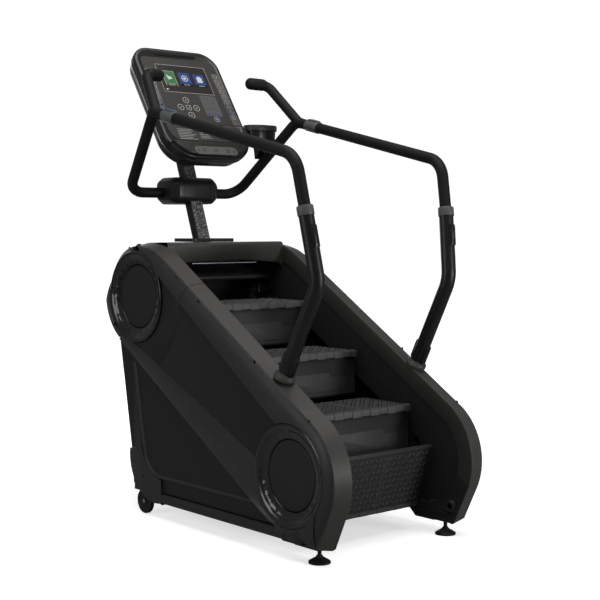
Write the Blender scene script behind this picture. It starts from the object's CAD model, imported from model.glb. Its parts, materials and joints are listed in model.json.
import json
from math import acos, atan2, ceil, copysign, cos, degrees, exp, pi, radians, sin, sqrt, tan

import bmesh
import bpy
from mathutils import Matrix, Vector


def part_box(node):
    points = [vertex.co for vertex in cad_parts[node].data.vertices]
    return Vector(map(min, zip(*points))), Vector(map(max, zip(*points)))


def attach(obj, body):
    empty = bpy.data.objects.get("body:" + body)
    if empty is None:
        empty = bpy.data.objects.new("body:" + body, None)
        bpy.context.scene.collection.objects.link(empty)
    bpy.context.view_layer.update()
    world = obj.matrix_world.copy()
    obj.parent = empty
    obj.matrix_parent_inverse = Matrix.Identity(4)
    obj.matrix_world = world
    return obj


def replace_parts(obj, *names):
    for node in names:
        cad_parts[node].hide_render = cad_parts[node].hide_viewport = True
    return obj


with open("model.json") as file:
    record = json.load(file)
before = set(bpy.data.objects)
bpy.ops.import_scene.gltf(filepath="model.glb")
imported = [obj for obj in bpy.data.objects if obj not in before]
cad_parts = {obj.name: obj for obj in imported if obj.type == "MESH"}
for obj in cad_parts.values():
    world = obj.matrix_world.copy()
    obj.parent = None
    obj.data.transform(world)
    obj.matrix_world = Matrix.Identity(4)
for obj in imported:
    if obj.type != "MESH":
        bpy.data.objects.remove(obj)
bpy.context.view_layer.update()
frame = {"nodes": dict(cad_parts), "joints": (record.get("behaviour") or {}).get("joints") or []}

# ---- Frame -------------------------------------------------------------------------------------
# Shapes are drawn in millimetres as [x, y, z], in the drawing's own frame. The drawing's zero line
# lies MIDDLE_Y in front of the middle of the machine, which is the frame's origin.
MM = 0.001
MIDDLE_Y = 37.0
INCLINE = radians(31.5)
STEP_RISE = 203.2
STEP_PITCH = STEP_RISE / sin(INCLINE)
SPROCKET_R = STEP_PITCH / pi
REST_TURN = 110.0
WALL_X = 327.0
RING_SEAT_R = 204.5
X_AXIS, Y_AXIS, Z_AXIS = Vector((1, 0, 0)), Vector((0, 1, 0)), Vector((0, 0, 1))
joint_at = {j["name"]: j.get("pos_m") for j in frame["joints"]}


def joint_yz(name):
    """The place of a joint in the side view, in drawing millimetres."""
    return Vector((joint_at[name][1] / MM + MIDDLE_Y, joint_at[name][2] / MM))


LOWER_AXIS = joint_yz("idler_turn")
UPPER_AXIS = joint_yz("drive_turn")
disc_lo, disc_hi = (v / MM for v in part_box("hub_discs"))
DISC_R = 138.0
HUB_LOW = Vector((disc_lo.y + MIDDLE_Y + DISC_R, disc_lo.z + DISC_R))
HUB_UP = Vector((disc_hi.y + MIDDLE_Y - DISC_R, disc_hi.z - DISC_R))
HUB_GAP = (HUB_UP - HUB_LOW).length
HUB_ALONG = (HUB_UP - HUB_LOW).normalized()
HUB_ABOVE = Vector((-HUB_ALONG.y, HUB_ALONG.x))
HUB_ANGLE = degrees(atan2(HUB_ALONG.y, HUB_ALONG.x))


def hub_pt(s, n):
    """A side-view point s along and n above the line through the hub centres."""
    return HUB_LOW + s * HUB_ALONG + n * HUB_ABOVE


def hub_sn(p):
    """The side-view point p as (s, n)."""
    d = p - HUB_LOW
    return d.dot(HUB_ALONG), d.dot(HUB_ABOVE)


# ---- Materials ---------------------------------------------------------------------------------

def surface(mat, name):
    """An input of the material's main shader."""
    return mat.node_tree.nodes["Principled BSDF"].inputs[name]


def new_material(name, color, roughness, specular=0.35, metallic=0.0, coat=0.0):
    mat = bpy.data.materials.new(name)
    mat.use_nodes = True
    for key, value in (("Base Color", (*color, 1)), ("Roughness", roughness),
            ("Specular IOR Level", specular),
            ("Metallic", metallic), ("Coat Weight", coat), ("Coat Roughness", 0.1)):
        surface(mat, key).default_value = value
    return mat


def coords(mat):
    return mat.node_tree.nodes.new("ShaderNodeTexCoord").outputs["Object"]


def noise(mat, scale, detail=4.0, rough=0.55):
    node = mat.node_tree.nodes.new("ShaderNodeTexNoise")
    node.inputs["Scale"].default_value = scale
    node.inputs["Detail"].default_value = detail
    node.inputs["Roughness"].default_value = rough
    mat.node_tree.links.new(coords(mat), node.inputs["Vector"])
    return node.outputs["Fac"]


def remap(mat, value, from_lo, from_hi, to_lo, to_hi):
    node = mat.node_tree.nodes.new("ShaderNodeMapRange")
    for key, number in zip(("From Min", "From Max", "To Min", "To Max"), (from_lo, from_hi, to_lo, to_hi)):
        node.inputs[key].default_value = number
    mat.node_tree.links.new(value, node.inputs["Value"])
    return node.outputs["Result"]


def shade_colors(mat, value, dark, light):
    """Base colour that goes from dark to light with value."""
    node = mat.node_tree.nodes.new("ShaderNodeMix")
    node.data_type = "RGBA"
    mat.node_tree.links.new(value, node.inputs["Factor"])
    node.inputs[6].default_value = (*dark, 1)
    node.inputs[7].default_value = (*light, 1)
    mat.node_tree.links.new(node.outputs[2], surface(mat, "Base Color"))


def bump(mat, value, strength, distance):
    node = mat.node_tree.nodes.new("ShaderNodeBump")
    node.inputs["Strength"].default_value = strength
    node.inputs["Distance"].default_value = distance
    mat.node_tree.links.new(value, node.inputs["Height"])
    mat.node_tree.links.new(node.outputs["Normal"], surface(mat, "Normal"))


def uneven_gloss(mat, value, lo, hi):
    """Roughness that goes from lo to hi with value."""
    mat.node_tree.links.new(remap(mat, value, 0.3, 0.7, lo, hi), surface(mat, "Roughness"))


def moulded(name, color, roughness, grain=900.0, strength=0.25, specular=0.35, spread=0.06, coat=0.0):
    """Moulded plastic or rubber: fine grain, slightly uneven gloss and tone."""
    mat = new_material(name, color, roughness, specular, coat=coat)
    uneven_gloss(mat, noise(mat, 9.0, 5.0), roughness - spread, roughness + spread)
    shade_colors(mat, noise(mat, 60.0, 6.0), [c * 0.85 for c in color], [c * 1.15 for c in color])
    bump(mat, noise(mat, grain, 2.0), strength, 0.0004)
    return mat


def brushed(name, color, roughness):
    mat = new_material(name, color, roughness, 0.5, metallic=1.0)
    streaks = noise(mat, 240.0, 6.0, 0.7)
    uneven_gloss(mat, streaks, roughness - 0.08, roughness + 0.1)
    shade_colors(mat, streaks, [c * 0.8 for c in color], color)
    return mat


def speckled(name):
    """Black powder coat with silver flecks."""
    mat = new_material(name, (0.012, 0.012, 0.013), 0.4, 0.4)
    flecks = remap(mat, noise(mat, 170.0, 3.0, 0.75), 0.48, 0.62, 0.0, 1.0)
    shade_colors(mat, flecks, (0.01, 0.01, 0.011), (0.34, 0.345, 0.35))
    bump(mat, noise(mat, 170.0, 3.0, 0.75), 0.5, 0.001)
    return mat


def lit(name, color, strength):
    """Part of a lit display."""
    mat = new_material(name, color, 0.25)
    surface(mat, "Emission Color").default_value = (*color, 1)
    surface(mat, "Emission Strength").default_value = strength
    shade_colors(mat, noise(mat, 120.0, 2.0), [c * 0.9 for c in color], color)
    return mat


SHROUD = moulded("shroud", (0.022, 0.0222, 0.023), 0.42, 1100, 0.3, 0.25)
BAND = moulded("shroud_band", (0.037, 0.0355, 0.033), 0.48, 1100, 0.12, 0.3)
PANEL = moulded("panel", (0.015, 0.0147, 0.0142), 0.5, 1300, 0.25, 0.16)
WALL = moulded("inner_wall", (0.02, 0.02, 0.0205), 0.5, 1100, 0.3, 0.2)
GLOSS = moulded("hub_gloss", (0.006, 0.006, 0.0065), 0.17, 300, 0.05, 0.45, 0.04, coat=0.2)
DISC = moulded("hub_disc", (0.017, 0.017, 0.0172), 0.5, 1300, 0.25, 0.16)
TREAD = moulded("step_tread", (0.052, 0.0512, 0.0505), 0.42, 700, 0.3, 0.4)
TREAD_SIDE = moulded("step_plastic", (0.022, 0.022, 0.0228), 0.48, 1000, 0.3, 0.28)
POWDER = moulded("powder_black", (0.006, 0.006, 0.0062), 0.36, 800, 0.35, 0.3)
TUBE_GLOSS = moulded("base_gloss", (0.008, 0.0082, 0.009), 0.24, 500, 0.1, 0.5, 0.05)
GRIP = moulded("grip", (0.005, 0.005, 0.0052), 0.6, 1500, 0.4, 0.2)
COLLAR = moulded("collar_grey", (0.075, 0.077, 0.08), 0.45, 900, 0.25, 0.3)
CASE = moulded("console_case", (0.011, 0.0107, 0.0103), 0.3, 900, 0.12, 0.42)
FACE = moulded("console_face", (0.03, 0.0285, 0.027), 0.45, 1400, 0.15, 0.22)
STRIP = moulded("key_strip", (0.075, 0.073, 0.07), 0.45, 900, 0.1, 0.28)
PRINT = moulded("light_print", (0.34, 0.34, 0.33), 0.5, 900, 0.05, 0.25)
KEY_BLUE = moulded("key_blue", (0.02, 0.08, 0.42), 0.4, 900, 0.1, 0.3)
KEY_RED = moulded("key_red", (0.45, 0.04, 0.03), 0.4, 900, 0.1, 0.3)
SCREEN = moulded("screen_glass", (0.022, 0.02, 0.018), 0.18, 60, 0.02, 0.25, 0.03)
DARK = moulded("recess_black", (0.003, 0.003, 0.003), 0.6, 900, 0.2, 0.1)
STEEL = brushed("steel_bright", (0.4, 0.41, 0.43), 0.34)
CAST = brushed("brake_cast", (0.3, 0.31, 0.32), 0.5)
BELT = moulded("belt_rubber", (0.01, 0.01, 0.01), 0.6, 600, 0.3, 0.2)
WHEEL = moulded("wheel_rubber", (0.008, 0.008, 0.0083), 0.5, 600, 0.4, 0.28)
CUP_RIM = moulded("cup_rim", (0.035, 0.04, 0.047), 0.4, 900, 0.2, 0.35)
MAST = speckled("mast_speckle")
TILE_GREEN = lit("tile_green", (0.03, 0.125, 0.037), 0.1)
TILE_BLUE = lit("tile_blue", (0.014, 0.048, 0.18), 0.1)
GLYPH = lit("glyph_white", (0.45, 0.46, 0.47), 0.15)

# ---- Mesh helpers ------------------------------------------------------------------------------

def new_object(name, data):
    obj = bpy.data.objects.new(name, data)
    bpy.context.scene.collection.objects.link(obj)
    return obj


def make(name, verts, faces, index, mats, slot, body="frame", sharp=32.0, bevel=0.0, segments=3):
    """A finished piece from drawing millimetres, with a material number for each face."""
    mesh = bpy.data.meshes.new(name)
    mesh.from_pydata([(v[0] * MM, (v[1] - MIDDLE_Y) * MM, v[2] * MM) for v in verts], [], faces)
    for m in mats:
        mesh.materials.append(m)
    mesh.polygons.foreach_set("material_index", index)
    bm = bmesh.new()
    bm.from_mesh(mesh)
    bmesh.ops.remove_doubles(bm, verts=bm.verts, dist=2e-6)
    bmesh.ops.dissolve_degenerate(bm, edges=bm.edges, dist=2e-6)
    bmesh.ops.recalc_face_normals(bm, faces=bm.faces)
    bm.to_mesh(mesh)
    bm.free()
    obj = new_object(name, mesh)
    if bevel:
        mod = obj.modifiers.new("bevel", "BEVEL")
        mod.width = bevel * MM
        mod.segments = segments
        mod.limit_method = "ANGLE"
        mod.angle_limit = radians(38)
        mod.harden_normals = False
        deps = bpy.context.evaluated_depsgraph_get()
        obj.data = bpy.data.meshes.new_from_object(obj.evaluated_get(deps))
        obj.modifiers.clear()
    obj.data.shade_smooth()
    obj.data.set_sharp_from_angle(angle=radians(sharp))
    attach(obj, body)
    return obj


class Build:
    """Collects several shapes into one mesh."""

    def __init__(self):
        self.verts = []
        self.faces = []
        self.index = []

    def add(self, verts, faces, material=0):
        base = len(self.verts)
        self.verts += [Vector(v) for v in verts]
        self.faces += [[base + i for i in f] for f in faces]
        self.index += [material] * len(faces)
        return self

    def add_both(self, verts, faces):
        """Adds a shape and its mirror image."""
        self.add(verts, faces)
        return self.add([(-v[0], v[1], v[2]) for v in verts], faces)

    def moved(self, matrix):
        """A copy carried by a 4x4 matrix of drawing millimetres."""
        out = Build()
        out.verts = [matrix @ v for v in self.verts]
        out.faces = self.faces
        out.index = self.index
        return out

    def piece(self, name, mats, slot, **rest):
        return make(name, self.verts, self.faces, self.index, mats, slot, **rest)


def grid(rows, closed_cols=False, caps=False):
    """Faces between rows of equal length. Returns (verts, faces)."""
    n, m = len(rows), len(rows[0])
    verts = [Vector(p) for row in rows for p in row]
    faces = []
    for a in range(n - 1):
        for c in range(m if closed_cols else m - 1):
            d = (c + 1) % m
            faces.append([a * m + c, a * m + d, (a + 1) * m + d, (a + 1) * m + c])
    if caps:
        faces.append([j for j in range(m)][::-1])
        faces.append([(n - 1) * m + j for j in range(m)])
    return verts, faces


def slab(outline, x0, x1):
    """A side-view outline between x0 and x1."""
    n = len(outline)
    rows = [[(x, p[0], p[1]) for p in outline] for x in (x0, x1)]
    return grid(rows, closed_cols=True, caps=True)


def heading(angle):
    """Unit vector of a side view at an angle in degrees."""
    return Vector((cos(radians(angle)), sin(radians(angle))))


def arc(c, r, a0, a1, n):
    """Points on a circle from a0 to a1 degrees."""
    return [Vector(c) + r * heading(a0 + (a1 - a0) * i / n) for i in range(n + 1)]


def circle(centre, e, f, radius, sides):
    """Points round centre in the plane of e and f."""
    turns = [2 * pi * j / sides for j in range(sides)]
    return [centre + radius * (cos(a) * e + sin(a) * f) for a in turns]


def rounded(points, radii, steps=8):
    """A closed outline with its corners rounded."""
    out = []
    n = len(points)
    for i, p in enumerate(points):
        p = Vector(p)
        u = (Vector(points[i - 1]) - p).normalized()
        w = (Vector(points[(i + 1) % n]) - p).normalized()
        half = acos(max(-1, min(1, u.dot(w)))) / 2
        r = radii[i] if isinstance(radii, (list, tuple)) else radii
        if r <= 0:
            out.append(p)
            continue
        cut = r / tan(half)
        centre = p + (u + w).normalized() * (r / sin(half))
        a = p + u * cut - centre
        b = p + w * cut - centre
        turn = a.angle_signed(b)
        for k in range(steps + 1):
            angle = -turn * k / steps
            out.append(centre + Vector((a.x * cos(angle) - a.y * sin(angle),
                a.x * sin(angle) + a.y * cos(angle))))
    return out


def route(points, radii, step=6.0):
    """A centre line through points, with rounded corners."""
    pts = [Vector(p) for p in points]
    out = [pts[0]]
    for i in range(1, len(pts) - 1):
        u = (pts[i] - pts[i - 1]).normalized()
        w = (pts[i + 1] - pts[i]).normalized()
        turn = u.angle(w)
        cut = radii[i] * tan(turn / 2)
        m = (w - u * u.dot(w)).normalized()
        centre = pts[i] - u * cut + m * radii[i]
        count = max(4, ceil(degrees(turn) / step))
        for k in range(count + 1):
            a = turn * k / count
            out.append(centre + radii[i] * (sin(a) * u - cos(a) * m))
    out.append(pts[-1])
    return out


def swept(line, radius, sides=32):
    """A round bar along a centre line."""
    rows = []
    e = (line[1] - line[0]).normalized().orthogonal().normalized()
    for i, p in enumerate(line):
        t = (line[min(i + 1, len(line) - 1)] - line[max(i - 1, 0)]).normalized()
        e = (e - t * e.dot(t)).normalized()
        f = t.cross(e)
        rows.append(circle(p, e, f, radius, sides))
    return grid(rows, closed_cols=True, caps=True)


def on_side(build, side):
    """The right-hand shape itself, or its mirror image where side is -1."""
    return build.moved(Matrix.Scale(-1, 4, (1, 0, 0))) if side < 0 else build


def lathe_x(profile, centre, sides=96):
    """Revolves (radius, x) about the X axis through the side-view point centre."""
    rows = [circle(Vector((x, *centre)), Y_AXIS, Z_AXIS, r, sides) for r, x in profile]
    return grid(rows, closed_cols=True)


def dress(node, *mats):
    """Gives a CAD node that stays its material."""
    obj = frame["nodes"][node]
    obj.data.materials.clear()
    for m in mats:
        obj.data.materials.append(m)
    obj.data.shade_smooth()
    obj.data.set_sharp_from_angle(angle=radians(30))


# ---- Side shrouds ------------------------------------------------------------------------------
TOP_Z = 1202.0
NOSE_C, NOSE_R = Vector((-537, 318)), 272.0
REAR_C, REAR_R = Vector((508, TOP_Z - 228)), 228.0
BLEND_R = 430.0
SEAM_Y = 118.0
UP = Vector((-sin(INCLINE), cos(INCLINE)))
nose_top = NOSE_C + NOSE_R * UP
BLEND_C = Vector((nose_top.x + (TOP_Z - BLEND_R + BLEND_R * UP.y - nose_top.y) / tan(INCLINE)
    - BLEND_R * UP.x, TOP_Z - BLEND_R))


# Lines n = a + b s of the hub frame, as (a, b): the groove above the hubs, and the flank's upper edge below
GROOVE = (138 - 0.0523 * 289, 0.0523)
FLANK_TOP = (-73 + 0.122 * 223, -0.122)


def spread(points, gap):
    """Points along an open line at most gap apart."""
    out = [points[0]]
    for a, b in zip(points, points[1:]):
        count = max(1, ceil((b - a).length / gap))
        out += [a + (b - a) * k / count for k in range(1, count + 1)]
    return out


def shroud_path():
    """The outline from the ridge's upper end, down the ridge, round the foot and nose, and over the top."""
    line = [HUB_UP + REAR_R * heading(HUB_ANGLE - 90)]
    line += arc(HUB_LOW, 221, HUB_ANGLE - 90, HUB_ANGLE - 97, 3)
    line += rounded([(-452, 124), (-460, 80), (-491, 52), (-714.5, 52)], [0, 14, 14, 16], 5)[:-1]
    line = line[:-1] + arc((-697, 70), 18, 270, 205, 5)
    line += arc(NOSE_C, NOSE_R, 205, 90 + degrees(INCLINE), 40)
    line += arc(BLEND_C, BLEND_R, 90 + degrees(INCLINE), 90, 16)
    line += arc(REAR_C, REAR_R, 90, HUB_ANGLE - 90, 56)
    return spread([Vector(p) for p in line], 14.0)


def circle_hit(p, d, c, r):
    q = p - c
    b = q.dot(d)
    disc = b * b - q.dot(q) + r * r
    return -b - sqrt(disc) if disc >= 0 and -b - sqrt(disc) > 0 else 1e9


def line_hit(p, d, a, b):
    """Distance along d from p to the line n = a + b s of the hub frame."""
    s0, n0 = hub_sn(p)
    ds, dn = d.dot(HUB_ALONG), d.dot(HUB_ABOVE)
    den = dn - b * ds
    t = (a + b * s0 - n0) / den if abs(den) > 1e-6 else -1
    return t if t > 0 else 1e9


def smooth_list(values, width):
    n = len(values)
    spans = [(max(0, i - width), min(n, i + width + 1)) for i in range(n)]
    return [sum(values[lo:hi]) / (hi - lo) for lo, hi in spans]


# The shroud's section: the lip inside the opening, the top band from LIP_X to BAND_X, which slopes down by
# BAND_DROP, and the outer skin. Below the hubs a ridge from FOOT_X to RIDGE_X takes the band's place.
LIP_X, LIP_DEPTH = 331.0, 75.0
BAND_X, BAND_DROP = 405.0, 14.0
FOOT_X, RIDGE_X = 399.0, 428.0


def shroud_rows():
    """Cross-section rows of a right-hand shroud along its outline: (outline point, row of [x, y, z])."""
    path = shroud_path()
    n = len(path)
    inward = []
    for i in range(n):
        t = path[min(i + 1, n - 1)] - path[max(i - 1, 0)]
        inward.append(Vector((t.y, -t.x)).normalized())
    inward[0] = HUB_ABOVE.copy()
    for _ in range(3):
        middle = [(inward[i - 1] + inward[i] * 2 + inward[i + 1]).normalized() for i in range(1, n - 1)]
        inward = [inward[0]] + middle + [inward[-1]]
    ridge, reach, seat = [], [], []
    for p, d in zip(path, inward):
        s, height = hub_sn(p)
        around_rear = degrees(atan2(p.y - REAR_C.y, p.x - REAR_C.x))
        around_low = degrees(atan2(p.y - HUB_LOW.y, p.x - HUB_LOW.x))
        if height < -150 and s > 20:
            w = 1.0
        elif height < -100 and s > -60:
            w = max(0.0, min(1.0, (around_low + 75) / 14))
        elif p.x > REAR_C.x and around_rear < 20:
            w = (20 - around_rear) / 78
        else:
            w = 0.0
        ridge.append(max(0.0, min(1.0, w)))
        ring = min(circle_hit(p, d, HUB_LOW, RING_SEAT_R), circle_hit(p, d, HUB_UP, RING_SEAT_R))
        if w > 0.5:
            line = line_hit(p, d, *FLANK_TOP)
        elif height > 150:
            line = line_hit(p, d, *GROOVE)
        else:
            line = 1e9
        reach.append(min(ring, line, 190.0))
        seat.append(419.0 if ring <= line else 412.5)
    seat = smooth_list(seat, 7)
    ridge = smooth_list(ridge, 4)
    rows = []
    for p, d, w, g_in, x_in in zip(path, inward, ridge, reach, seat):
        row = []

        def put(g_band, x_band, g_ridge, x_ridge):
            g = g_band * (1 - w) + g_ridge * w
            x = x_band * (1 - w) + x_ridge * w
            q = p + d * g
            row.append(Vector((x, q.x, q.y)))

        lip = ((LIP_DEPTH, LIP_X), (LIP_DEPTH, 328), (73, WALL_X), (8, WALL_X), (3, 327.3), (0.9, 328.4),
            (0, LIP_X))
        for g, x in lip:
            put(g, x, 1.5, FOOT_X)
        for k in range(1, 7):
            put(BAND_DROP * k / 6, LIP_X + (BAND_X - LIP_X) * k / 6, 1.5 - 0.25 * k, FOOT_X + 4.5 * k)
        for k in range(1, 15):
            t = k / 14
            g = BAND_DROP + (g_in - BAND_DROP) * t
            x_band = BAND_X + 19 * (1 - exp(-(g - BAND_DROP) / 24)) + 2.5 * (g - BAND_DROP) / 120
            x_ridge = x_in + (RIDGE_X - x_in) * (1 - t) ** 1.7
            if k == 1:
                put(g, x_band, 3, 427.5)
            else:
                put(g, x_band, g_in * t, x_ridge)
        q_in = p + d * g_in
        last = row[-1].x
        row += [Vector((last - 1.2, q_in.x + d.x * 1.2, q_in.y + d.y * 1.2)),
            Vector((last - 4, q_in.x + d.x * 1.9, q_in.y + d.y * 1.9)),
            Vector((last - 16, q_in.x + d.x * 2, q_in.y + d.y * 2))]
        rows.append((p, row))
    return rows


SHROUD_ROWS = shroud_rows()
# Faces of each row, from the lip on, that belong to the top band
BAND_FACES = 13
seam = max(i for i, (p, row) in enumerate(SHROUD_ROWS) if p.y > 700 and p.x <= SEAM_Y)


def seam_row(index, shift):
    """The row at index, moved a little along the outline."""
    p0, row0 = SHROUD_ROWS[index]
    p1, row1 = SHROUD_ROWS[index + 1] if index + 1 < len(SHROUD_ROWS) else SHROUD_ROWS[index - 1]
    step = (p1 - p0).length
    sign = 1 if index + 1 < len(SHROUD_ROWS) else -1
    return [a + (b - a) * (shift / step) * sign for a, b in zip(row0, row1)]


def shroud_piece(name, rows, node, side):
    build = Build().add(*grid(rows))
    per_row = len(rows[0]) - 1
    build.index = [0 if (k % per_row) < BAND_FACES else 1 for k in range(len(build.faces))]
    obj = on_side(build, side).piece(name, [BAND, SHROUD], "shroud", sharp=28)
    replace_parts(obj, node)


for side, word in ((-1, "left"), (1, "right")):
    front = [row for p, row in SHROUD_ROWS[:seam]] + [seam_row(seam, -1.2)]
    rear = [seam_row(seam, 1.2)] + [row for p, row in SHROUD_ROWS[seam + 1:]]
    shroud_piece(word + "_shroud_front", front, word + "_front_shroud", side)
    shroud_piece(word + "_shroud_rear", rear, word + "_rear_shroud", side)

# Inner plate that closes the foot of each shroud, with the boss of a cross bolt
web_outline = arc(NOSE_C, NOSE_R - 3, 205, 200, 2) + arc(NOSE_C, NOSE_R - 76, 196, 295, 30)
web_outline += [Vector((-454, 124)), Vector((-462, 82)), Vector((-491, 56)), Vector((-700, 56)),
    Vector((-714, 60))]
for side, word in ((-1, "left"), (1, "right")):
    build = Build().add(*slab(web_outline, WALL_X - 0.6, 331))
    build.add(*slab([(-690, 98), (-600, 98), (-470, 86), (-470, 80), (-690, 92)], WALL_X - 6, WALL_X))
    build.add(*lathe_x(((13, 329), (13, 317), (14, 315), (22, 315), (24, 317), (25, 325), (28, 329)),
        (-697, 128), 48))
    build.add(*lathe_x(((0.01, 322), (13, 322)), (-697, 128), 48), material=1)
    on_side(build, side).piece(word + "_foot_plate", [SHROUD, DARK], "shroud", sharp=30)


# ---- Diagonal panels ---------------------------------------------------------------------------

def circle_on_line(a, b, s0, r, sign):
    """s where the line n = a + b s meets the circle of radius r about (s0, 0)."""
    qa, qb, qc = 1 + b * b, 2 * (a * b - s0), s0 * s0 + a * a - r * r
    return (-qb + sign * sqrt(qb * qb - 4 * qa * qc)) / (2 * qa)


def hub_arc(s0, r, p, q, count):
    """Points on the circle of radius r about (s0, 0) from p to q, both as (s, n)."""
    a0 = degrees(atan2(p[1], p[0] - s0)) % 360
    a1 = degrees(atan2(q[1], q[0] - s0)) % 360
    if s0 < 1:
        a0 = (a0 + 180) % 360 - 180
        a1 = (a1 + 180) % 360 - 180
    return [hub_pt(*q) for q in arc((s0, 0), r, a0, a1, count)]


# Edges of the diagonal panel, a joint's width inside those lines
TOP_LINE = (GROOVE[0] - 1.6, GROOVE[1])
LOW_LINE = (FLANK_TOP[0] + 1.6, FLANK_TOP[1])


def panel_span(low_r, up_r):
    """Corners (s, n) of the panel between a circle round each hub, from the top left one clockwise."""
    out = []
    for (a, b), ends in ((TOP_LINE, (1, -1)), (LOW_LINE, (-1, 1))):
        for sign in ends:
            s = circle_on_line(a, b, 0, low_r, 1) if sign == 1 else circle_on_line(a, b, HUB_GAP, up_r, -1)
            out.append((s, a + b * s))
    return out


ARC_SEAM_R = 333.0
PANEL_X = (407.5, 411.8)
for side, word in ((-1, "left"), (1, "right")):
    build = Build()
    t0, t1, b1, b0 = panel_span(RING_SEAT_R + 0.8, ARC_SEAM_R + 0.6)
    long_part = [hub_pt(*t0), hub_pt(*t1)] + hub_arc(HUB_GAP, ARC_SEAM_R + 0.6, t1, b1, 20)[1:-1]
    long_part += [hub_pt(*b1)] + hub_arc(0, RING_SEAT_R + 0.8, b0, t0, 24)[:-1]
    build.add(*slab(long_part, *PANEL_X))
    _, p_t, p_b, _ = panel_span(RING_SEAT_R, ARC_SEAM_R - 0.6)
    _, q_t, q_b, _ = panel_span(RING_SEAT_R, RING_SEAT_R + 0.8)
    cap_part = hub_arc(HUB_GAP, RING_SEAT_R + 0.8, q_t, q_b, 24)
    cap_part += hub_arc(HUB_GAP, ARC_SEAM_R - 0.6, p_b, p_t, 24)
    build.add(*slab(cap_part, *PANEL_X))
    made = on_side(build, side).piece(word + "_panel_diagonal", [PANEL], "panel", bevel=0.8, segments=2)
    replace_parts(made, word + "_diagonal_panel")

# ---- Hubs --------------------------------------------------------------------------------------
RING_PROFILE = ((203.2, 404), (203.2, 414), (202.6, 417.5), (200.5, 420), (197, 421.4), (192, 421.6),
    (186, 420.2),
    (180, 417), (175, 412.8), (171, 409.6), (166, 407.4), (160, 405.8), (152, 404), (146, 402.6),
    (143, 402.2),
    (141, 400), (139.6, 396), (139.6, 392))


def hub_ring(centre, facets):
    """A dished gloss ring; its dish has shallow radial facets."""
    sides = 144
    rows = []
    for r, x in RING_PROFILE:
        row = []
        for j in range(sides):
            a = 2 * pi * j / sides
            lift = 0.0
            if 145 < r < 184:
                wave = (j * facets / sides) % 1.0
                lift = 2.6 * (wave - 0.5) * sin(pi * (r - 145) / 39)
            row.append((x + lift, centre.x + r * cos(a), centre.y + r * sin(a)))
        rows.append(row)
    return grid(rows, closed_cols=True)


rings = Build()
discs = Build()
for centre in (HUB_LOW, HUB_UP):
    rings.add_both(*hub_ring(centre, 24))
    discs.add_both(*lathe_x(((0.01, 403.6), (60, 403.4), (110, 402.8), (132, 401.8), (136, 400.6),
        (137.6, 398.4),
        (137.6, 392)), centre))
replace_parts(rings.piece("hub_ring_set", [GLOSS], "hub_gloss", sharp=24), "hub_rings")
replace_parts(discs.piece("hub_disc_set", [DISC], "hub_disc", sharp=30), "hub_discs")

# Dark behind the hub rings and the joints of the panels
backing = Build()
for centre in (HUB_LOW, HUB_UP):
    backing.add_both(*lathe_x(((0.01, 391), (206, 391), (206, 389), (0.01, 389)), centre, 64))
bounds = [hub_pt(208, 130), hub_pt(HUB_GAP - 208, 170), hub_pt(HUB_GAP - 208, -160), hub_pt(208, -68)]
backing.add_both(*slab(bounds, 405, 406.5))
backing.piece("hub_backing", [DARK], "panel")

# ---- Steps -------------------------------------------------------------------------------------
STEP_HALF = 306.0
TREAD_D = 285.0
TREAD_T = 28.0
RISER_H = 196.0
ALONG = Vector((cos(INCLINE), sin(INCLINE)))
NOSING_BACK, NOSING_UP = 69.0, 208.7
NOSING_START = LOWER_AXIS - NOSING_BACK * ALONG + NOSING_UP * UP


def from_axis(s, n):
    """A place relative to a sprocket axis, in the frame of a step at the lower tangent point."""
    return (s + NOSING_BACK) * ALONG + (n - NOSING_UP) * UP


def step_body():
    riser = [(9 + 4.5 * sin(pi * k / 10), -24 - (RISER_H - 35) * k / 10) for k in range(11)]
    foot = arc((21, 12 - RISER_H), 12, 180, 330, 8)
    nose = arc((10, -10), 10, 190, 90, 6)
    outline = [(TREAD_D - 4, 0), (TREAD_D, -4), (TREAD_D, 8 - TREAD_T), (TREAD_D - 6, -TREAD_T)]
    outline += [(37, -TREAD_T)] + foot[::-1] + riser[::-1] + nose
    body = Build().add(*slab(outline, -STEP_HALF, STEP_HALF))
    for sign in (1, -1):
        gusset = [(30, -20), (215, -20), (150, -96), (112, -96), (30, -60)]
        body.add(*slab(gusset, sign * (STEP_HALF - 18), sign * (STEP_HALF - 10)))
        pin, link = from_axis(0, 70), from_axis(0, SPROCKET_R)
        body.add(*swept([Vector((sign * x, pin.x, pin.y)) for x in (STEP_HALF - 12, 339)], 10, 20),
            material=1)
        arm = [pin + Vector((-13, -10)), pin + Vector((13, -10))]
        arm += [link + Vector((10, 9)), link + Vector((-10, 9))]
        body.add(*slab(rounded(arm, 7, 5), sign * 337, sign * 342.5), material=1)
        body.add(*swept([Vector((sign * x, link.x, link.y)) for x in (339, 345.5)], 5, 16), material=1)
    return body


def tread_bar(x, y, long, wide, high, angle):
    """A raised bar with sloped sides on the tread."""
    c, s = cos(angle), sin(angle)
    low = [(-long, -wide), (long, -wide), (long, wide), (-long, wide)]
    top = [(a * (long - 1.4), b * (wide - 1.2)) for a, b in ((-1, -1), (1, -1), (1, 1), (-1, 1))]
    verts = [(x + a * c - b * s, y + a * s + b * c, -0.4) for a, b in low]
    verts += [(x + a * c - b * s, y + a * s + b * c, high) for a, b in top]
    return verts, [[0, 1, 5, 4], [1, 2, 6, 5], [2, 3, 7, 6], [3, 0, 4, 7], [4, 5, 6, 7]]


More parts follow.
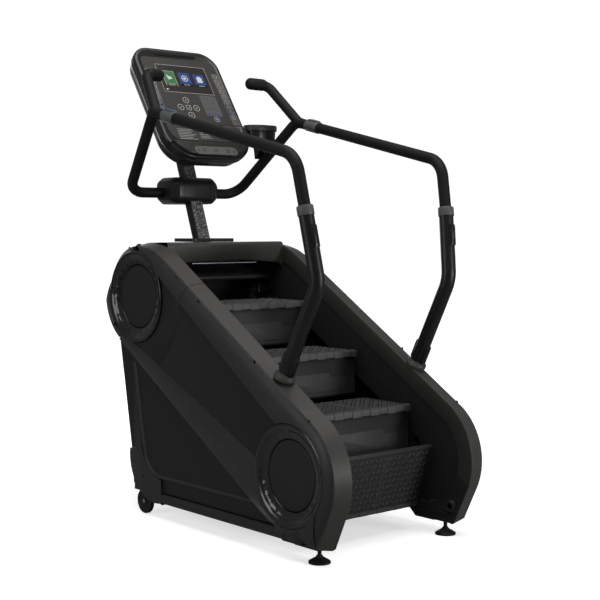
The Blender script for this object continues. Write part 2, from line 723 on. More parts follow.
def step_pattern():
    pattern = Build()
    cell = 26.5
    columns, rows = 22, 9
    for i in range(columns):
        for j in range(rows):
            x = (i - (columns - 1) / 2) * cell
            y = 47 + j * cell
            angle = radians(45 if (i + j) % 2 else -45)
            pattern.add(*tread_bar(x, y, 10.5, 3.8, 2.4, angle))
    # A column of dashes in the direction of climbing
    for j in range(19):
        pattern.add(*tread_bar(47, 40 + j * 12.4, 10, 1.8, 3.2, 0))
    # Nosing blocks and the lands between them
    block_outline = [(26, -2), (26, 2), (7, 2), (2.5, 0.8), (-0.6, -3), (-1.6, -8), (-1.6, -27),
        (0.5, -29), (4, -29), (4, -8), (9, -2)]
    land_outline = [(24, -2), (24, 1.5), (7.5, 1.5), (2.8, 0.3), (-0.2, -3.4), (-1.1, -8.4), (-1.1, -24),
        (4, -24), (4, -8), (9, -2)]
    for i in range(-6, 7):
        half, shape = (24.3, block_outline) if i % 2 == 0 else (22.8, land_outline)
        lo, hi = max(-STEP_HALF + 1, i * 49.5 - half), min(STEP_HALF - 1, i * 49.5 + half)
        pattern.add(*slab(shape, lo, hi))
    # Skirt below the parting line, and the raised label field
    skirt = [(-304, -103), (-171, -103), (-154, -86), (154, -86), (171, -103), (304, -103), (304, -172),
        (-304, -172)]
    rows = []
    for depth in (16, 9.9, 9.3):
        inset = 0.8 if depth < 9.5 else 0
        rows.append([(u * (1 - inset / 304), depth + riser_bow(v), v - inset * (1 if v > -120 else -1))
            for u, v in skirt])
    pattern.add(*grid(rows[::-1], closed_cols=True, caps=True), material=1)
    label = rounded([(-163, -89), (163, -89), (163, -170), (-163, -170)], 15, 6)
    rows = []
    for inset, depth in ((0, 14), (0, 7.4), (1.2, 6.6)):
        rows.append([(u - copysign(inset, u), depth + riser_bow(v) * 0.9, v - copysign(inset, v + 123))
            for u, v in label])
    pattern.add(*grid(rows[::-1], closed_cols=True, caps=True), material=1)
    return pattern


def riser_bow(v):
    """How far the concave riser lies behind its flat line at height v."""
    return 4.5 * sin(pi * min(1, max(0, (-24 - v) / (RISER_H - 35))))


def step_place(i):
    """The matrix of step i at rest, as in the CAD model."""
    travel = REST_TURN / 180 * STEP_PITCH
    start = Matrix.Translation((0, NOSING_START.x, NOSING_START.y))

    def turned(c, angle):
        there = Matrix.Translation((0, c.x, c.y))
        return there @ Matrix.Rotation(radians(angle), 4, "X") @ there.inverted()

    def shifted(d):
        return Matrix.Translation((0, d * ALONG.x, d * ALONG.y))

    if i == 1:
        return turned(LOWER_AXIS, REST_TURN) @ start
    if i <= 4:
        return shifted((i - 1) * STEP_PITCH - travel) @ start
    if i == 5:
        return turned(UPPER_AXIS, REST_TURN - 180) @ shifted(3 * STEP_PITCH) @ start
    return shifted(travel + (8 - i) * STEP_PITCH) @ turned(LOWER_AXIS, 180) @ start


body, pattern = step_body(), step_pattern()
for i in range(1, 9):
    name = "step_%d" % i
    place = step_place(i)
    made = body.moved(place).piece(name + "_moulding", [TREAD_SIDE, STEEL], "step_tread", body=name,
        bevel=1.6, segments=2)
    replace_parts(made, name)
    pattern.moved(place).piece(name + "_pattern", [TREAD, TREAD_SIDE], "step_tread", body=name, sharp=25)

# ---- Handrails and grip loop -------------------------------------------------------------------
RAIL_BASE = Vector((363, -457, 692))
RAIL_ELBOW = Vector((358, -649, 1058))
RAIL_JOINT = Vector((383, -606, 1329))
RAIL_CORNER = Vector((397, -564, 1545))
RAIL_SPLIT = Vector((402, 375, 1766))
LOOP_LOW = Vector((308, 716, 1431))
HORN_KNEE = Vector((345, 520, 1944))
HORN_TIP = Vector((262, 545, 1949))
RAIL_R, UPRIGHT_R = 24.0, 30.0


def capsule(a, b, r, squash=1.0, steps=9):
    """A bar with domed ends."""
    d = (b - a).normalized()
    line, radii = [], []
    for k in range(steps + 1):
        angle = pi / 2 * k / steps
        line.append(a - d * r * squash * cos(angle))
        radii.append(max(0.3, r * sin(angle)))
    for k in range(steps + 1):
        angle = pi / 2 * (1 - k / steps)
        line.append(b + d * r * squash * cos(angle))
        radii.append(max(0.3, r * sin(angle)))
    rows = []
    e = d.orthogonal().normalized()
    f = d.cross(e)
    for p, rad in zip(line, radii):
        rows.append(circle(p, e, f, rad, 32))
    return grid(rows, closed_cols=True, caps=True)


def collar(base, direction, profile):
    """Revolves (distance, radius) about a line."""
    e = direction.orthogonal().normalized()
    f = direction.cross(e)
    return grid([circle(base + direction * d, e, f, r, 48) for d, r in profile], closed_cols=True)


def facing_box(center, along, out, half, bevel_top=1.5):
    """A block at center with its long side along, its top face out; half is (across, along, up)."""
    across = along.cross(out).normalized()
    verts = []
    corners = [(half[0] * a, half[1] * b) for a, b in ((-1, -1), (1, -1), (1, 1), (-1, 1))]
    for shrink, lift in ((0, -half[2]), (0, half[2] - bevel_top), (bevel_top, half[2])):
        for a, b in rounded(corners, min(half[0], half[1]) * 0.55, 5):
            k = 1 - shrink / min(half[0], half[1])
            verts.append(center + across * a * k + along * b * k + out * lift)
    n = len(verts) // 3
    return grid([verts[0:n], verts[n:2 * n], verts[2 * n:]], closed_cols=True, caps=True)


for side, word in ((-1, "left"), (1, "right")):
    u_low = (RAIL_ELBOW - RAIL_BASE).normalized()
    u_mid = (RAIL_JOINT - RAIL_ELBOW).normalized()
    u_top = (RAIL_CORNER - RAIL_JOINT).normalized()
    u_run = (RAIL_SPLIT - RAIL_CORNER).normalized()
    u_loop = (LOOP_LOW - RAIL_SPLIT).normalized()
    lower = Build().add(*swept(route([RAIL_BASE, RAIL_ELBOW, RAIL_JOINT], [0, 130, 0], 4), UPRIGHT_R, 48))
    upper = Build().add(*swept(route([RAIL_JOINT, RAIL_CORNER, RAIL_SPLIT, RAIL_SPLIT + u_loop * 90],
        [0, 105, 62, 0], 4), RAIL_R, 40))
    upper.add(*swept(route([RAIL_SPLIT - u_run * 20, HORN_KNEE, HORN_TIP], [0, 56, 0], 5), 23.5, 40))
    upper.add(*capsule(HORN_KNEE.lerp(HORN_TIP, 0.3), HORN_TIP, 28, 0.9))
    upper.add(*capsule(RAIL_SPLIT - u_run * 34, RAIL_SPLIT + u_run * 6, 25.5, 0.5))
    foot = Build().add(*collar(RAIL_BASE - u_low * 4, u_low, ((0, 44), (9, 44), (13, 42.5), (15, 40),
        (22, 34), (26, 31.5), (27, 30.2))))
    cuff = Build().add(*collar(RAIL_JOINT, u_mid.lerp(u_top, 0.5).normalized(),
        ((-12, 30.2), (-12, 32.4), (-10, 33), (20, 33), (24, 31.5),
        (26, 28), (26.5, 24.2))))
    sensor_at = RAIL_SPLIT - u_run * 128
    sensor = Build().add(*collar(sensor_at, u_run, ((-42, 24.4), (-42, 26), (-40, 27.2), (40, 27.2),
        (42, 26), (42, 24.4))))
    out = Vector((0, -u_run.z, u_run.y)).normalized()
    sensor.add(*facing_box(sensor_at + out * 26, u_run, out, (15, 33, 5)))
    keys = 3 if side < 0 else 1
    for k in range(keys):
        spot = sensor_at + out * 31 + u_run * ((k - (keys - 1) / 2) * 18)
        sensor.add(*facing_box(spot, u_run, out, (5, 6, 1.6), 0.8), material=1)
    covers = Build()
    for spot, along, face in ((RAIL_JOINT - u_mid * 95, u_mid, Vector((0, -1, 0.16))),
            (RAIL_BASE + u_low * 62, u_low, Vector((0.0, -1, -0.5))),
            (RAIL_BASE + u_low * 62, u_low, Vector((0.0, 1, 0.5)))):
        normal = (face - along * face.dot(along)).normalized()
        covers.add(*facing_box(spot + normal * (UPRIGHT_R + 2), along, normal, (13, 44, 6.5), 3.5))
        for shift in (-24, 24):
            covers.add(*facing_box(spot + normal * (UPRIGHT_R + 8.4) + along * shift, along, normal,
                (4.2, 4.2, 0.8), 0.5), material=1)
    for build, name, mats, slot, node in (
            (lower, "rail_lower", [POWDER], "powder_black", word + "_lower_rail"),
            (upper, "rail_upper", [GRIP], "grip", word + "_upper_rail"),
            (foot, "rail_foot_collar", [BAND], "shroud", None),
            (cuff, "rail_cuff", [COLLAR], "collar_grey", "rail_collars"),
            (sensor, "grip_sensor", [COLLAR, KEY_BLUE if side < 0 else KEY_RED], "collar_grey",
            "rail_sensors"),
            (covers, "bolt_cover", [POWDER, DARK], "powder_black", "rail_bolt_covers")):
        made = on_side(build, side).piece(name + "_" + word, mats, slot, sharp=35)
        if node:
            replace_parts(made, node)

u_loop = (LOOP_LOW - RAIL_SPLIT).normalized()
loop_line = [RAIL_SPLIT + u_loop * 88, LOOP_LOW]
loop_line += [Vector((-p.x, p.y, p.z)) for p in reversed(loop_line)]
loop = Build().add(*swept(route(loop_line, [0, 92, 92, 0], 4), RAIL_R, 40))
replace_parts(loop.piece("grip_loop", [GRIP], "grip"), "handle_loop")

# ---- Mast and clamp housing --------------------------------------------------------------------
MAST_FOOT = Vector((0, 574, 1190))
MAST_UP = Vector((0, sin(radians(20)), cos(radians(20))))
MAST_BACK = Vector((0, MAST_UP.z, -MAST_UP.y))
section = rounded([(-34, -26), (34, -26), (34, 26), (-34, 26)], 7, 5)
mast_ends = [[MAST_FOOT + MAST_UP * h + X_AXIS * u + MAST_BACK * v for u, v in section] for h in (6, 757)]
mast = Build().add(*grid(mast_ends, closed_cols=True, caps=True))
mast.index = [1 if all(abs(mast.verts[i].x) > 30 for i in f) else 0 for f in mast.faces]
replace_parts(mast.piece("mast_tube", [MAST, POWDER], "powder_black"), "mast")
dress("console_bracket", POWDER)
dress("mast_cover_plate", CASE)


def clamp_section(scale):
    """Side-view section of the clamp housing, shrunk towards the loop tube."""
    centre = Vector((697, 1440))
    outline = arc((654, 1460), 43, 90, 180, 8) + arc((654, 1420), 43, 180, 250, 8)
    outline += arc((742, 1412), 36, 280, 360, 8) + arc((742, 1466), 37, 0, 90, 8)
    return [centre + (p - centre) * scale for p in outline]


taper = [(93, 1.0), (99, 0.99), (105, 0.96), (128, 0.76), (133, 0.7), (135, 0.62)]
taper = [(-x, scale) for x, scale in reversed(taper)] + taper
clamp = Build().add(*grid([[(x, *p) for p in clamp_section(scale)] for x, scale in taper],
    closed_cols=True, caps=True))
for x in (-72, 72):
    clamp.add(*slab(clamp_section(1.004), x - 0.8, x + 0.8), material=1)
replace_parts(clamp.piece("clamp_shell", [CASE, DARK], "console_case", sharp=26), "clamp_housing")

# ---- Covers ------------------------------------------------------------------------------------

def fascia_row(x):
    """Front profile of the top cover at x, from the back of its flat top to inside the opening."""
    edge = max(0.0, (abs(x) - 262) / (WALL_X - 262))
    drop = 24 * (1 - sqrt(max(0.0, 1 - edge * edge)))
    low_z = 1126 - 13 * min(1.0, abs(x) / 262) ** 2 - drop
    low_y = 390 + 4 * min(1.0, abs(x) / 262) - 0.15 * drop
    top_y = 384 - 20 * cos(abs(x) / WALL_X * pi / 2)
    points = arc(REAR_C, REAR_R - 6, 36, 37, 1)[:1] + arc(REAR_C, REAR_R + 1.5, 36, 84, 14)
    points += [(top_y + 30, 1205), (top_y + 12, 1203.8), (top_y + 4, 1200.5), (top_y, 1194)]
    for k in range(1, 9):
        t = k / 8
        points.append((top_y + (low_y - top_y) * (0.35 * t + 0.65 * t * t), 1194 + (low_z - 1194) * t))
    points += [(low_y + 1.5, low_z - 2.5), (low_y + 5, low_z - 2), (low_y + 7, low_z + 3), (low_y + 7, 1188)]
    return [(x, y, z) for y, z in points]


columns = [WALL_X * sin(radians(a)) for a in range(-90, 91, 3)]
fascia = Build().add(*grid([fascia_row(x) for x in columns]))
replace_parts(fascia.piece("top_fascia", [BAND], "shroud", sharp=40), "top_cover")
bar = Build().add(*swept([Vector((-182, 408, 1109)), Vector((182, 408, 1109))], 5, 16))
bar.piece("fascia_bar", [STEEL], "steel_bright")

# Rear guard: panels on a curved backing, with dark joints
guard = Build()
guard.add(*grid([[(x, *p) for x in (-326, 326)] for p in arc(UPPER_AXIS, 231.5, -60, 92, 38)]), material=1)
joint_angle = 38
for a0, a1 in ((-60, joint_angle - 0.6), (joint_angle + 0.6, 94)):
    for column in range(3):
        rows = []
        for k in range(25):
            a = a0 + (a1 - a0) * k / 24
            slant = 26 * (a - joint_angle) / 60
            edges = (-325, -108 - slant, 108 + slant, 325)
            lo, hi = edges[column] + (2 if column else 0), edges[column + 1] - (2 if column < 2 else 0)
            low_edge, face = UPPER_AXIS + 231 * heading(a), UPPER_AXIS + 228 * heading(a)
            rows.append([(lo, *low_edge), (lo, *face), (hi, *face), (hi, *low_edge)])
        guard.add(*grid(rows))
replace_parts(guard.piece("guard_panels", [WALL, DARK], "panel", sharp=30), "rear_guard")
# Dark plates beside the guard
ends = Build()
ends.add_both(*slab(arc(UPPER_AXIS, 224, -60, 75, 24) + arc(UPPER_AXIS, 95, 75, -60, 24), 331.6, 333))
ends.piece("guard_ends", [DARK], "panel")


# ---- Lower side panels and rear foot casings ---------------------------------------------------
SHEET_X = (397.5, 401.5)
CASING_X = (398.5, 405)


def raised_frame(outer, inner, profile):
    """A moulding between two open lines of equal length; profile is (share from inner to outer, x)."""
    rows = []
    for a, b in zip(inner, outer):
        rows.append([(x, a.x + (b.x - a.x) * t, a.y + (b.y - a.y) * t) for t, x in profile])
    return grid(rows)


for side, word in ((-1, "left"), (1, "right")):
    sheet = [(344, 176), (452, 236), (494, 322), (553, 680), hub_pt(HUB_GAP - 30, -226), hub_pt(86, -226)]
    panel = Build().add(*slab(sheet, *SHEET_X))
    inner = [Vector((-330, 197)), Vector((339, 194))] + arc((340, 302), 108, 270, 348, 14)
    inner = spread(inner + [Vector((477, 425)), Vector((523, 676))], 30)
    shift = []
    for i, p in enumerate(inner):
        t = inner[min(i + 1, len(inner) - 1)] - inner[max(i - 1, 0)]
        width = 19 + 6 * min(1.0, max(0.0, (p.y - 200) / 150))
        shift.append(p + Vector((t.y, -t.x)).normalized() * width)
    frame_profile = ((0, 401), (0.06, 403.5), (0.16, 406), (0.32, 407.6), (0.6, 407.9), (0.82, 406.6),
        (0.94, 403.5), (1, 398), (1, 392))
    panel.add(*raised_frame(shift, inner, frame_profile), material=1)
    kick = Build().add(*slab([(-424, 116), (333, 116), (333, 177), (-424, 177)], 392, 396))
    kick.add(*slab([(290, 120), (430, 120), (430, 200), (290, 200)], 386, 390))
    foot_outline = [Vector((334, 172)), Vector((334, 61))] + arc((383, 260), 197, -104, 2, 26)
    foot_outline += [Vector((576, 284)), Vector((530, 288)), Vector((494, 320)), Vector((470, 262)),
        Vector((438, 218)), Vector((392, 184))]
    casing = Build().add(*slab(foot_outline, *CASING_X))
    face = [Vector((334, 172)), Vector((334, 61))] + arc((383, 260), 197, -104, -79, 8)
    face += arc((383, 260), 193, -79, -102, 8) + [Vector((338, 66)), Vector((338, 172))]
    casing.add(*slab(face, 362, 399))
    casing.add(*slab(arc((383, 260), 197, -58, 2, 16) + arc((383, 260), 193, 2, -58, 16), 362, 399))
    for build, name, mats, slot, node, bevel in (
            (panel, "lower_sheet", [PANEL, SHROUD], "panel", word + "_lower_panel", 0),
            (kick, "kick_strip", [PANEL], "panel", word + "_lower_panel", 1.5),
            (casing, "rear_foot_casing", [SHROUD], "shroud", "rear_foot_casings", 5)):
        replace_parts(on_side(build, side).piece(name + "_" + word, mats, slot, bevel=bevel), node)

# Screws in the shrouds' outer faces
SCREWS = ((569, 1178), (372, 1159), (203, 1059), (42, 964), (-328, 745), (-653, 547))
SHEET_SCREWS = ((356, 573), (51, 392))
CASING_SCREW = (476, 169)


def skin_x(p):
    """How far out the shroud's skin lies near a side-view point."""
    best = min(((v.y - p[0]) ** 2 + (v.z - p[1]) ** 2, v.x) for _, row in SHROUD_ROWS for v in row[13:-3])
    return best[1]


screws = Build()
screw_spots = [(p, skin_x(p)) for p in SCREWS] + [(p, SHEET_X[1]) for p in SHEET_SCREWS]
screw_spots.append((CASING_SCREW, CASING_X[1]))
for p, x in screw_spots:
    head = ((0.01, x - 1.2), (2.6, x - 1.2), (2.8, x + 0.3), (4.6, x + 0.8), (6.2, x + 0.4), (6.8, x - 1.5))
    screws.add_both(*lathe_x(head, p, 24))
screws.piece("shroud_screws", [DARK], "powder_black")

# ---- Console -----------------------------------------------------------------------------------
CONSOLE_ORIGIN = Vector((0, 670, 1898))
LEAN = radians(90 - 33.5)
FACE_UP = Vector((0, cos(LEAN), sin(LEAN)))
FACE_OUT = Vector((0, -sin(LEAN), cos(LEAN)))


def con(u, v, w):
    """A point of the console's face frame: u right, v up the face, w out of it."""
    return CONSOLE_ORIGIN + Vector((u, 0, 0)) + FACE_UP * v + FACE_OUT * w


def face_outline(inset):
    lo_u, hi_u, lo_v, hi_v = -240 + inset, 240 - inset, -372 + inset, 258 - inset
    radii = [max(8, r - inset) for r in (138, 138, 96, 96)]
    return rounded([(lo_u, lo_v), (hi_u, lo_v), (hi_u, hi_v), (lo_u, hi_v)], radii, 14)


def console_rows(levels):
    return [[con(p.x, p.y, w) for p in face_outline(g)] for g, w in levels]


def plate(outline, w0, w1, edge=0.6):
    """A thin plate on the console's face, with a chamfered edge."""
    c = sum((Vector(p) for p in outline), Vector((0, 0))) / len(outline)
    size = max((Vector(p) - c).length for p in outline)
    k = 1 - edge / size
    rows = [[con(p[0], p[1], w0) for p in outline], [con(p[0], p[1], w1 - edge * 0.6) for p in outline]]
    rows.append([con(c.x + (p[0] - c.x) * k, c.y + (p[1] - c.y) * k, w1) for p in outline])
    return grid(rows, closed_cols=True, caps=True)


def box_plate(lo_u, lo_v, hi_u, hi_v, r, w0, w1, edge=0.5):
    return plate(rounded([(lo_u, lo_v), (hi_u, lo_v), (hi_u, hi_v), (lo_u, hi_v)], r, 5), w0, w1, edge)


def face_lathe(u, v, profile, sides):
    """Revolves (radius, w) about a line out of the console's face."""
    return grid([circle(con(u, v, w), X_AXIS, FACE_UP, r, sides) for r, w in profile], closed_cols=True)


def ring_plate(u, v, r_in, r_out, w0, w1):
    return face_lathe(u, v, ((r_in, w0), (r_in, w1), (r_out, w1), (r_out, w0)), 36)


def disc_plate(u, v, r, w0, w1, dish=0.0, sides=32):
    profile = ((r, w0), (r, w1 - 0.5), (r - 0.6, w1), (r * 0.5, w1 - dish * 0.7), (0.05, w1 - dish))
    return face_lathe(u, v, profile, sides)


shell_profile = ((40, -100), (30, -99), (22, -95), (17, -86), (14, -72), (12, -60), (7, -52), (3, -44),
    (1.5, -36), (1.6, -31), (3.2, -29.2), (3.2, -28.4))
shell = Build().add(*grid(console_rows(shell_profile), closed_cols=True))
shell.add([con(p.x, p.y, -100) for p in face_outline(40)], [list(range(len(face_outline(40))))])
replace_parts(shell.piece("console_back", [CASE], "console_case", sharp=30), "console_shell")
bezel_profile = ((3.2, -28.2), (0.8, -27.6), (0, -25), (0, -9), (0.8, -5), (2.8, -2), (6, -0.3),
    (10, 0.2), (15, 0.2), (19, -0.3), (21, -1.4))
bezel = Build().add(*grid(console_rows(bezel_profile), closed_cols=True))
rim = face_outline(21)
bezel.add([con(p.x, p.y, -1.4) for p in rim], [list(range(len(rim)))])
# Lower lip
lip = [Vector((-222, -296)), *arc((-100, -232), 132, 212, 270, 10), *arc((100, -232), 132, 270, 328, 10),
    Vector((222, -296))]
lip_rows = []
for inset, w in ((0, -1), (0, 10), (1.5, 14), (4.5, 17), (9, 18.2), (14, 18.4)):
    centre = Vector((0, -330))
    lip_rows.append([con(p.x * (1 - inset / 240), p.y + (inset * 0.9 if p.y < -330 else -inset * 0.5), w)
        for p in lip])
bezel.add(*grid(lip_rows, closed_cols=True, caps=True))
# Shelf edge above the lip and the ledge across the lower face
bezel.add(*box_plate(-196, -291, 196, -283, 3.5, -1.4, 4.5))
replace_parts(bezel.piece("console_front", [CASE], "console_case", sharp=30), "console_bezel")
frame_line = Build()
for lo_u, lo_v, hi_u, hi_v in ((-141, -3, 141, -1.2), (-141, 157.2, 141, 159), (-141, -3, -139.2, 159),
        (139.2, -3, 141, 159)):
    frame_line.add(*box_plate(lo_u, lo_v, hi_u, hi_v, 0.5, 0.4, 1.7, 0.2))
frame_line.piece("screen_frame_line", [PRINT], "console_face")

upper_field = rounded([(-214, -182), (214, -182), (210, 200), (-210, 200)], (26, 26, 30, 30), 8)
lower_field = rounded([(-196, -278), (196, -278), (213, -190), (-213, -190)], (50, 50, 10, 10), 8)
overlay = Build().add(*plate(upper_field, -1.6, 0.9, 1.0))
overlay.add(*plate(lower_field, -1.6, 0.3, 1.0))
for sign in (1, -1):
    strip = [(sign * 169, 132), (sign * 208, 128), (sign * 228, -177), (sign * 181, -180)]
    overlay.add(*plate(rounded(strip if sign > 0 else strip[::-1], 7, 4), 0.5, 1.7, 0.6), material=1)
    for k in range(9):
        t = k / 8.6
        u, v = sign * (188 + 15 * t), 112 - 262 * t
        black = k in (6, 7)
        if black:
            overlay.add(*box_plate(u - 15, v - 14, u + 15, v + 14, 5, 1.2, 2.3), material=4)
        overlay.add(*disc_plate(u, v, 10.5, 1.4, 2.7, 0.5), material=1)
        overlay.add(*ring_plate(u, v, 11, 12.4, 1.4, 2.9), material=2)
        if black:
            overlay.add(*disc_plate(u, v, 5, 2.2, 3.0), material=5)
        if not black:
            overlay.add(*box_plate(u - 4, v - 1, u + 4, v + 1, 0.6, 2, 3.0, 0.2), material=2)
overlay.add(*box_plate(46, -130, 139, -12, 5, 0.5, 1.8), material=3)
for row in range(4):
    for column in range(3):
        u, v = 66 + column * 26.5, -28 - row * 28
        overlay.add(*disc_plate(u, v, 9.5, 1.2, 3.0, 0.4), material=1)
        overlay.add(*ring_plate(u, v, 9.5, 10.6, 1.2, 2.6), material=0)
        if row == 3 and column != 1:
            overlay.add(*disc_plate(u, v, 4.5, 2.2, 3.3), material=5)
# Printed fields, as plain bars
for k in range(7):
    overlay.add(*box_plate(-160, -218 - 9 * k, -60 - 13 * (k % 3), -216 - 9 * k, 0.5, 0.0, 0.7, 0.1),
        material=2)
for k in range(5):
    overlay.add(*box_plate(-40, -226 - 9 * k, 22 - 9 * (k % 2), -224 - 9 * k, 0.5, 0.0, 0.7, 0.1),
        material=2)
overlay.add(*box_plate(52, -212, 90, -204, 1, 0.0, 0.8, 0.2), material=6)
overlay_mats = [FACE, STRIP, PRINT, COLLAR, DARK, KEY_BLUE, TILE_GREEN]
overlay_made = overlay.piece("console_overlay_sheet", overlay_mats, "console_face", sharp=30)
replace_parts(overlay_made, "console_overlay")

slot = Build().add(*box_plate(-117, 214, 117, 228, 6.9, -1.2, 0.6, 0.4))
slot.piece("console_slot", [DARK], "console_case")

glass = Build().add(*box_plate(-139, -1, 139, 157, 3, -1.5, 1.2, 0.5))
tiles = (((-116, 47, -53, 120), 1), ((-30, 52, 35, 117), 2), ((56, 52, 117, 115), 2))
for (lo_u, lo_v, hi_u, hi_v), m in tiles:
    if m == 1:
        glass.add(*box_plate(lo_u - 2.5, lo_v - 12, hi_u + 2.5, hi_v + 2.5, 2, 1.0, 1.45, 0.1), material=5)
    glass.add(*box_plate(lo_u, lo_v, hi_u, hi_v, 2, 1.1, 1.7, 0.1), material=m)
    glass.add(*box_plate(lo_u, lo_v - 11, hi_u, lo_v - 2, 1, 1.3, 1.8, 0.1), material=4)
    glass.add(*box_plate(lo_u + 14, lo_v - 7.4, hi_u - 14, lo_v - 5.4, 0.6, 1.6, 2.0, 0.1), material=3)
glass.add(*plate([Vector((-96, 70)), Vector((-70, 76)), Vector((-78, 92)), Vector((-84, 88)),
    Vector((-98, 100))], 1.5, 2.2, 0.2), material=3)
glass.add(*ring_plate(2, 84, 14, 18, 1.5, 2.2), material=3)
glass.add(*disc_plate(2, 84, 8, 1.5, 2.2), material=3)
glass.add(*box_plate(72, 66, 102, 96, 2, 1.5, 2.2, 0.3), material=3)
glass.add(*box_plate(79, 94, 95, 102, 2, 1.5, 2.4, 0.3), material=3)
glass.add(*disc_plate(-122, 12, 5, 1.2, 2.0), material=3)
glass.add(*disc_plate(-114, 12, 3, 1.2, 2.0), material=6)
glass_made = glass.piece("console_display", [SCREEN, TILE_GREEN, TILE_BLUE, GLYPH, DARK, PRINT, KEY_RED],
    "screen_glass", sharp=30)
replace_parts(glass_made, "console_screen")

ports = Build().add(*box_plate(-120, -368, 120, -324, 21, 15, 20.2, 1.5))
for u, r in ((-101, 6), (-69, 9), (-2, 6), (66, 9), (102, 6)):
    ports.add(*disc_plate(u, -346, r, 18, 20.7, 1.6), material=1)
    ports.add(*ring_plate(u, -346, r, r + 1.2, 18, 21))
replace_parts(ports.piece("port_panel", [STRIP, DARK], "console_face", sharp=30), "port_bar")

NAV = {"nav_up": (-44, -48, 90), "nav_down": (-44, -134, 270), "nav_left": (-88, -91, 180),
    "nav_right": (0, -91, 0)}
for name, (u, v, turn) in NAV.items():
    key = Build().add(*disc_plate(u, v, 18.5, -2, 2.9, 0.8, 40))
    key.add(*ring_plate(u, v, 14.6, 17.4, 2.0, 3.3), material=1)
    tip = arc((u, v), 6, turn, turn + 240, 2)
    key.add(*plate(tip, 2.0, 3.3, 0.4), material=1)
    made = key.piece(name + "_cap", [FACE, PRINT], "key_grey", body=name + "_key", sharp=30)
    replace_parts(made, name + "_key")
ok = Build().add(*disc_plate(-44, -91, 18.5, -2, 2.7, 0.5, 40))
for lo_u, lo_v, hi_u, hi_v in ((-58, -105, -30, -102.6), (-58, -79.4, -30, -77), (-58, -105, -55.6, -77),
        (-32.4, -105, -30, -77)):
    ok.add(*box_plate(lo_u, lo_v, hi_u, hi_v, 0.8, 2.0, 3.2, 0.2), material=1)
tick = [Vector(p) for p in ((-51, -94), (-46, -97), (-37, -87), (-39, -85), (-46, -93))]
ok.add(*plate(tick, 2.0, 3.2, 0.3), material=1)
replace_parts(ok.piece("nav_ok_cap", [FACE, PRINT], "key_grey", body="nav_ok_key", sharp=30), "nav_ok_key")
start = Build().add(*disc_plate(94, -150, 16, -2, 3.0, 0.6, 40))
start.add(*ring_plate(94, -150, 13, 15.2, 2.0, 3.3), material=1)
start.add(*disc_plate(94, -150, 8.5, 2.0, 3.3, 0.2), material=2)
start.add(*plate([Vector((91, -145)), Vector((91, -155)), Vector((99, -150))], 2.2, 3.7, 0.3), material=1)
made = start.piece("start_cap", [FACE, PRINT, KEY_BLUE], "key_blue", body="start_key", sharp=30)
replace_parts(made, "start_key")

# ---- Cup tray ----------------------------------------------------------------------------------
CUP = Vector((345, 578))


def stadium(half_x, radius, z):
    """Horizontal outline round the cup tray."""
    ends = arc((CUP.x + half_x - radius, CUP.y), radius, -90, 90, 10)
    ends += arc((CUP.x - half_x + radius, CUP.y), radius, 90, 270, 10)
    return [Vector((*p, z)) for p in ends]


levels = ((70, 46, 1658), (74, 50, 1659), (77, 52, 1664), (80, 55, 1722), (80, 55, 1728), (87, 61, 1731),
    (87.5, 62, 1734), (87.5, 62, 1752), (86, 60.5, 1756), (83, 57.5, 1757.5), (78, 52.5, 1756.5),
    (75.5, 50, 1753), (74, 48.5, 1740), (72, 46, 1670), (68, 42, 1665.5))
cup = Build().add(*grid([stadium(*level) for level in levels], closed_cols=True, caps=True))
cup.index = [1 if 1727 < sum(cup.verts[i].z for i in f) / len(f) < 1753 and len(f) == 4 else 0
    for f in cup.faces]
arm = [(548, 1664), (604, 1664), (598, 1640), (590, 1598), (562, 1624)]
cup.add(*slab(arm, CUP.x - 22, CUP.x + 22))
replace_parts(cup.piece("cup_tray", [CASE, CUP_RIM], "console_case", sharp=35), "cup_holder")

# ---- Wheels, feet and what stays from the CAD --------------------------------------------------
WHEEL_C = Vector((483, 55))
for side, word in ((-1, "left"), (1, "right")):
    tyre_profile = ((8.1, 375), (16, 375), (17, 378), (37, 379), (41, 375.2), (50, 374.2), (53.6, 376),
        (55, 379.5), (54.4, 384.5), (54.4, 385.5), (55, 390.5), (53.6, 394), (50, 395.8), (41, 394.8),
        (37, 391), (17, 392), (16, 395), (8.1, 395))
    tyre = Build().add(*lathe_x(tyre_profile, WHEEL_C, 72))
    for k in range(5):
        spot = WHEEL_C + 27 * heading(72 * k + 15)
        tyre.add(*lathe_x(((0.01, 393.6), (6.5, 393.4), (7.6, 391)), spot, 20))
    cap_profile = ((0.01, 397.8), (5, 397.6), (8.5, 396.8), (9.5, 395), (9.5, 394))
    cap = Build().add(*lathe_x(cap_profile, WHEEL_C, 32))
    made = on_side(tyre, side).piece(word + "_wheel_tyre", [WHEEL], "wheel_rubber", body=word + "_wheel",
        sharp=35)
    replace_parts(made, word + "_wheel")
    on_side(cap, side).piece(word + "_axle_cap", [STEEL], "steel_bright")
    dress(word + "_foot", WHEEL)
    dress(word + "_inner_wall", WALL)

dress("base_frame", TUBE_GLOSS)
dress("rear_cover", PANEL)
for node in ("drive_shaft", "idler_shaft", "bearings", "step_chains", "flywheel"):
    dress(node, STEEL)
dress("brake_unit", CAST)
dress("drive_belt", BELT)

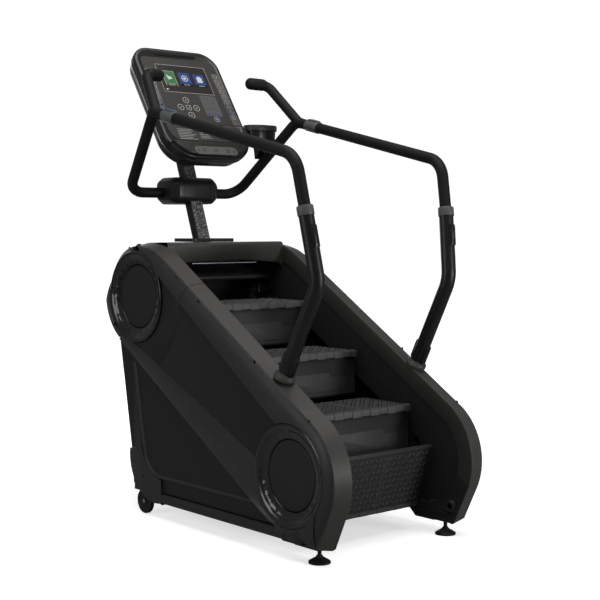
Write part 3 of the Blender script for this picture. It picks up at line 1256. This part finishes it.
# ---- Floor, light and camera -------------------------------------------------------------------
# White to the camera, with the machine's soft shadow, and dimmer for the light it sends back
floor_material = new_material("pale_floor", (0.86, 0.86, 0.86), 0.6, 0.1)
floor_nodes, floor_links = floor_material.node_tree.nodes, floor_material.node_tree.links
surface(floor_material, "Emission Color").default_value = (1, 1, 1, 1)
place = floor_nodes.new("ShaderNodeMapping")
place.inputs["Scale"].default_value = (0.3, 0.3, 0.3)
floor_links.new(coords(floor_material), place.inputs["Vector"])
middle = floor_nodes.new("ShaderNodeTexGradient")
middle.gradient_type = "SPHERICAL"
floor_links.new(place.outputs["Vector"], middle.inputs["Vector"])
glow = remap(floor_material, middle.outputs["Fac"], 0.0, 0.75, 1.0, 0.6)
floor_links.new(glow, surface(floor_material, "Emission Strength"))
bounce = floor_nodes.new("ShaderNodeBsdfDiffuse")
bounce.inputs["Color"].default_value = (0.3, 0.3, 0.3, 1)
seen = floor_nodes.new("ShaderNodeLightPath")
pick = floor_nodes.new("ShaderNodeMixShader")
floor_links.new(seen.outputs["Is Camera Ray"], pick.inputs[0])
floor_links.new(bounce.outputs[0], pick.inputs[1])
floor_links.new(floor_nodes["Principled BSDF"].outputs[0], pick.inputs[2])
floor_links.new(pick.outputs[0], floor_nodes["Material Output"].inputs["Surface"])
floor_mesh = bpy.data.meshes.new("floor")
floor_mesh.from_pydata([(-30, -30, 0), (30, -30, 0), (30, 30, 0), (-30, 30, 0)], [], [[0, 1, 2, 3]])
floor_mesh.materials.append(floor_material)
floor = new_object("floor", floor_mesh)

# White behind the machine, and a dimmer even light on it
world = bpy.data.worlds.new("studio")
world.use_nodes = True
tree = world.node_tree
soft = tree.nodes["Background"]
soft.inputs["Color"].default_value = (0.95, 0.97, 1.0, 1)
soft.inputs["Strength"].default_value = 0.22
white = tree.nodes.new("ShaderNodeBackground")
white.inputs["Color"].default_value = (1, 1, 1, 1)
white.inputs["Strength"].default_value = 1.05
light_path = tree.nodes.new("ShaderNodeLightPath")
choose = tree.nodes.new("ShaderNodeMixShader")
tree.links.new(light_path.outputs["Is Camera Ray"], choose.inputs[0])
tree.links.new(soft.outputs[0], choose.inputs[1])
tree.links.new(white.outputs[0], choose.inputs[2])
tree.links.new(choose.outputs[0], tree.nodes["World Output"].inputs["Surface"])
bpy.context.scene.world = world
bpy.context.scene.view_settings.view_transform = "Standard"


def area_light(name, place, target, size, power, color=(1, 1, 1)):
    data = bpy.data.lights.new(name, "AREA")
    data.shape = "RECTANGLE"
    data.size, data.size_y = size
    data.energy = power
    data.color = color
    obj = new_object(name, data)
    obj.location = place
    obj.rotation_euler = (Vector(target) - Vector(place)).to_track_quat("-Z", "Y").to_euler()


area_light("key_overhead", (-0.3, -0.9, 4.6), (0, 0, 0.8), (3.4, 3.6), 140, (1.0, 0.985, 0.96))
area_light("side_soft", (-4.8, 0.6, 1.9), (0, 0, 0.8), (2.4, 2.4), 62, (0.97, 0.985, 1.0))
area_light("front_strip", (1.6, -4.6, 1.0), (0.1, -0.4, 0.6), (0.9, 1.6), 85)
area_light("back_wall", (1.9, 5.2, 1.6), (0, 0, 0.9), (5.0, 3.0), 70)

camera_data = bpy.data.cameras.new("camera")
camera_data.lens = 75.7
camera_data.sensor_width = 36
camera = new_object("camera", camera_data)
camera.location = (-3.470, -4.194 - MIDDLE_Y * MM, 1.279)
camera.rotation_euler = Vector((0.648, 0.760, -0.059)).to_track_quat("-Z", "Y").to_euler()
bpy.context.scene.camera = camera
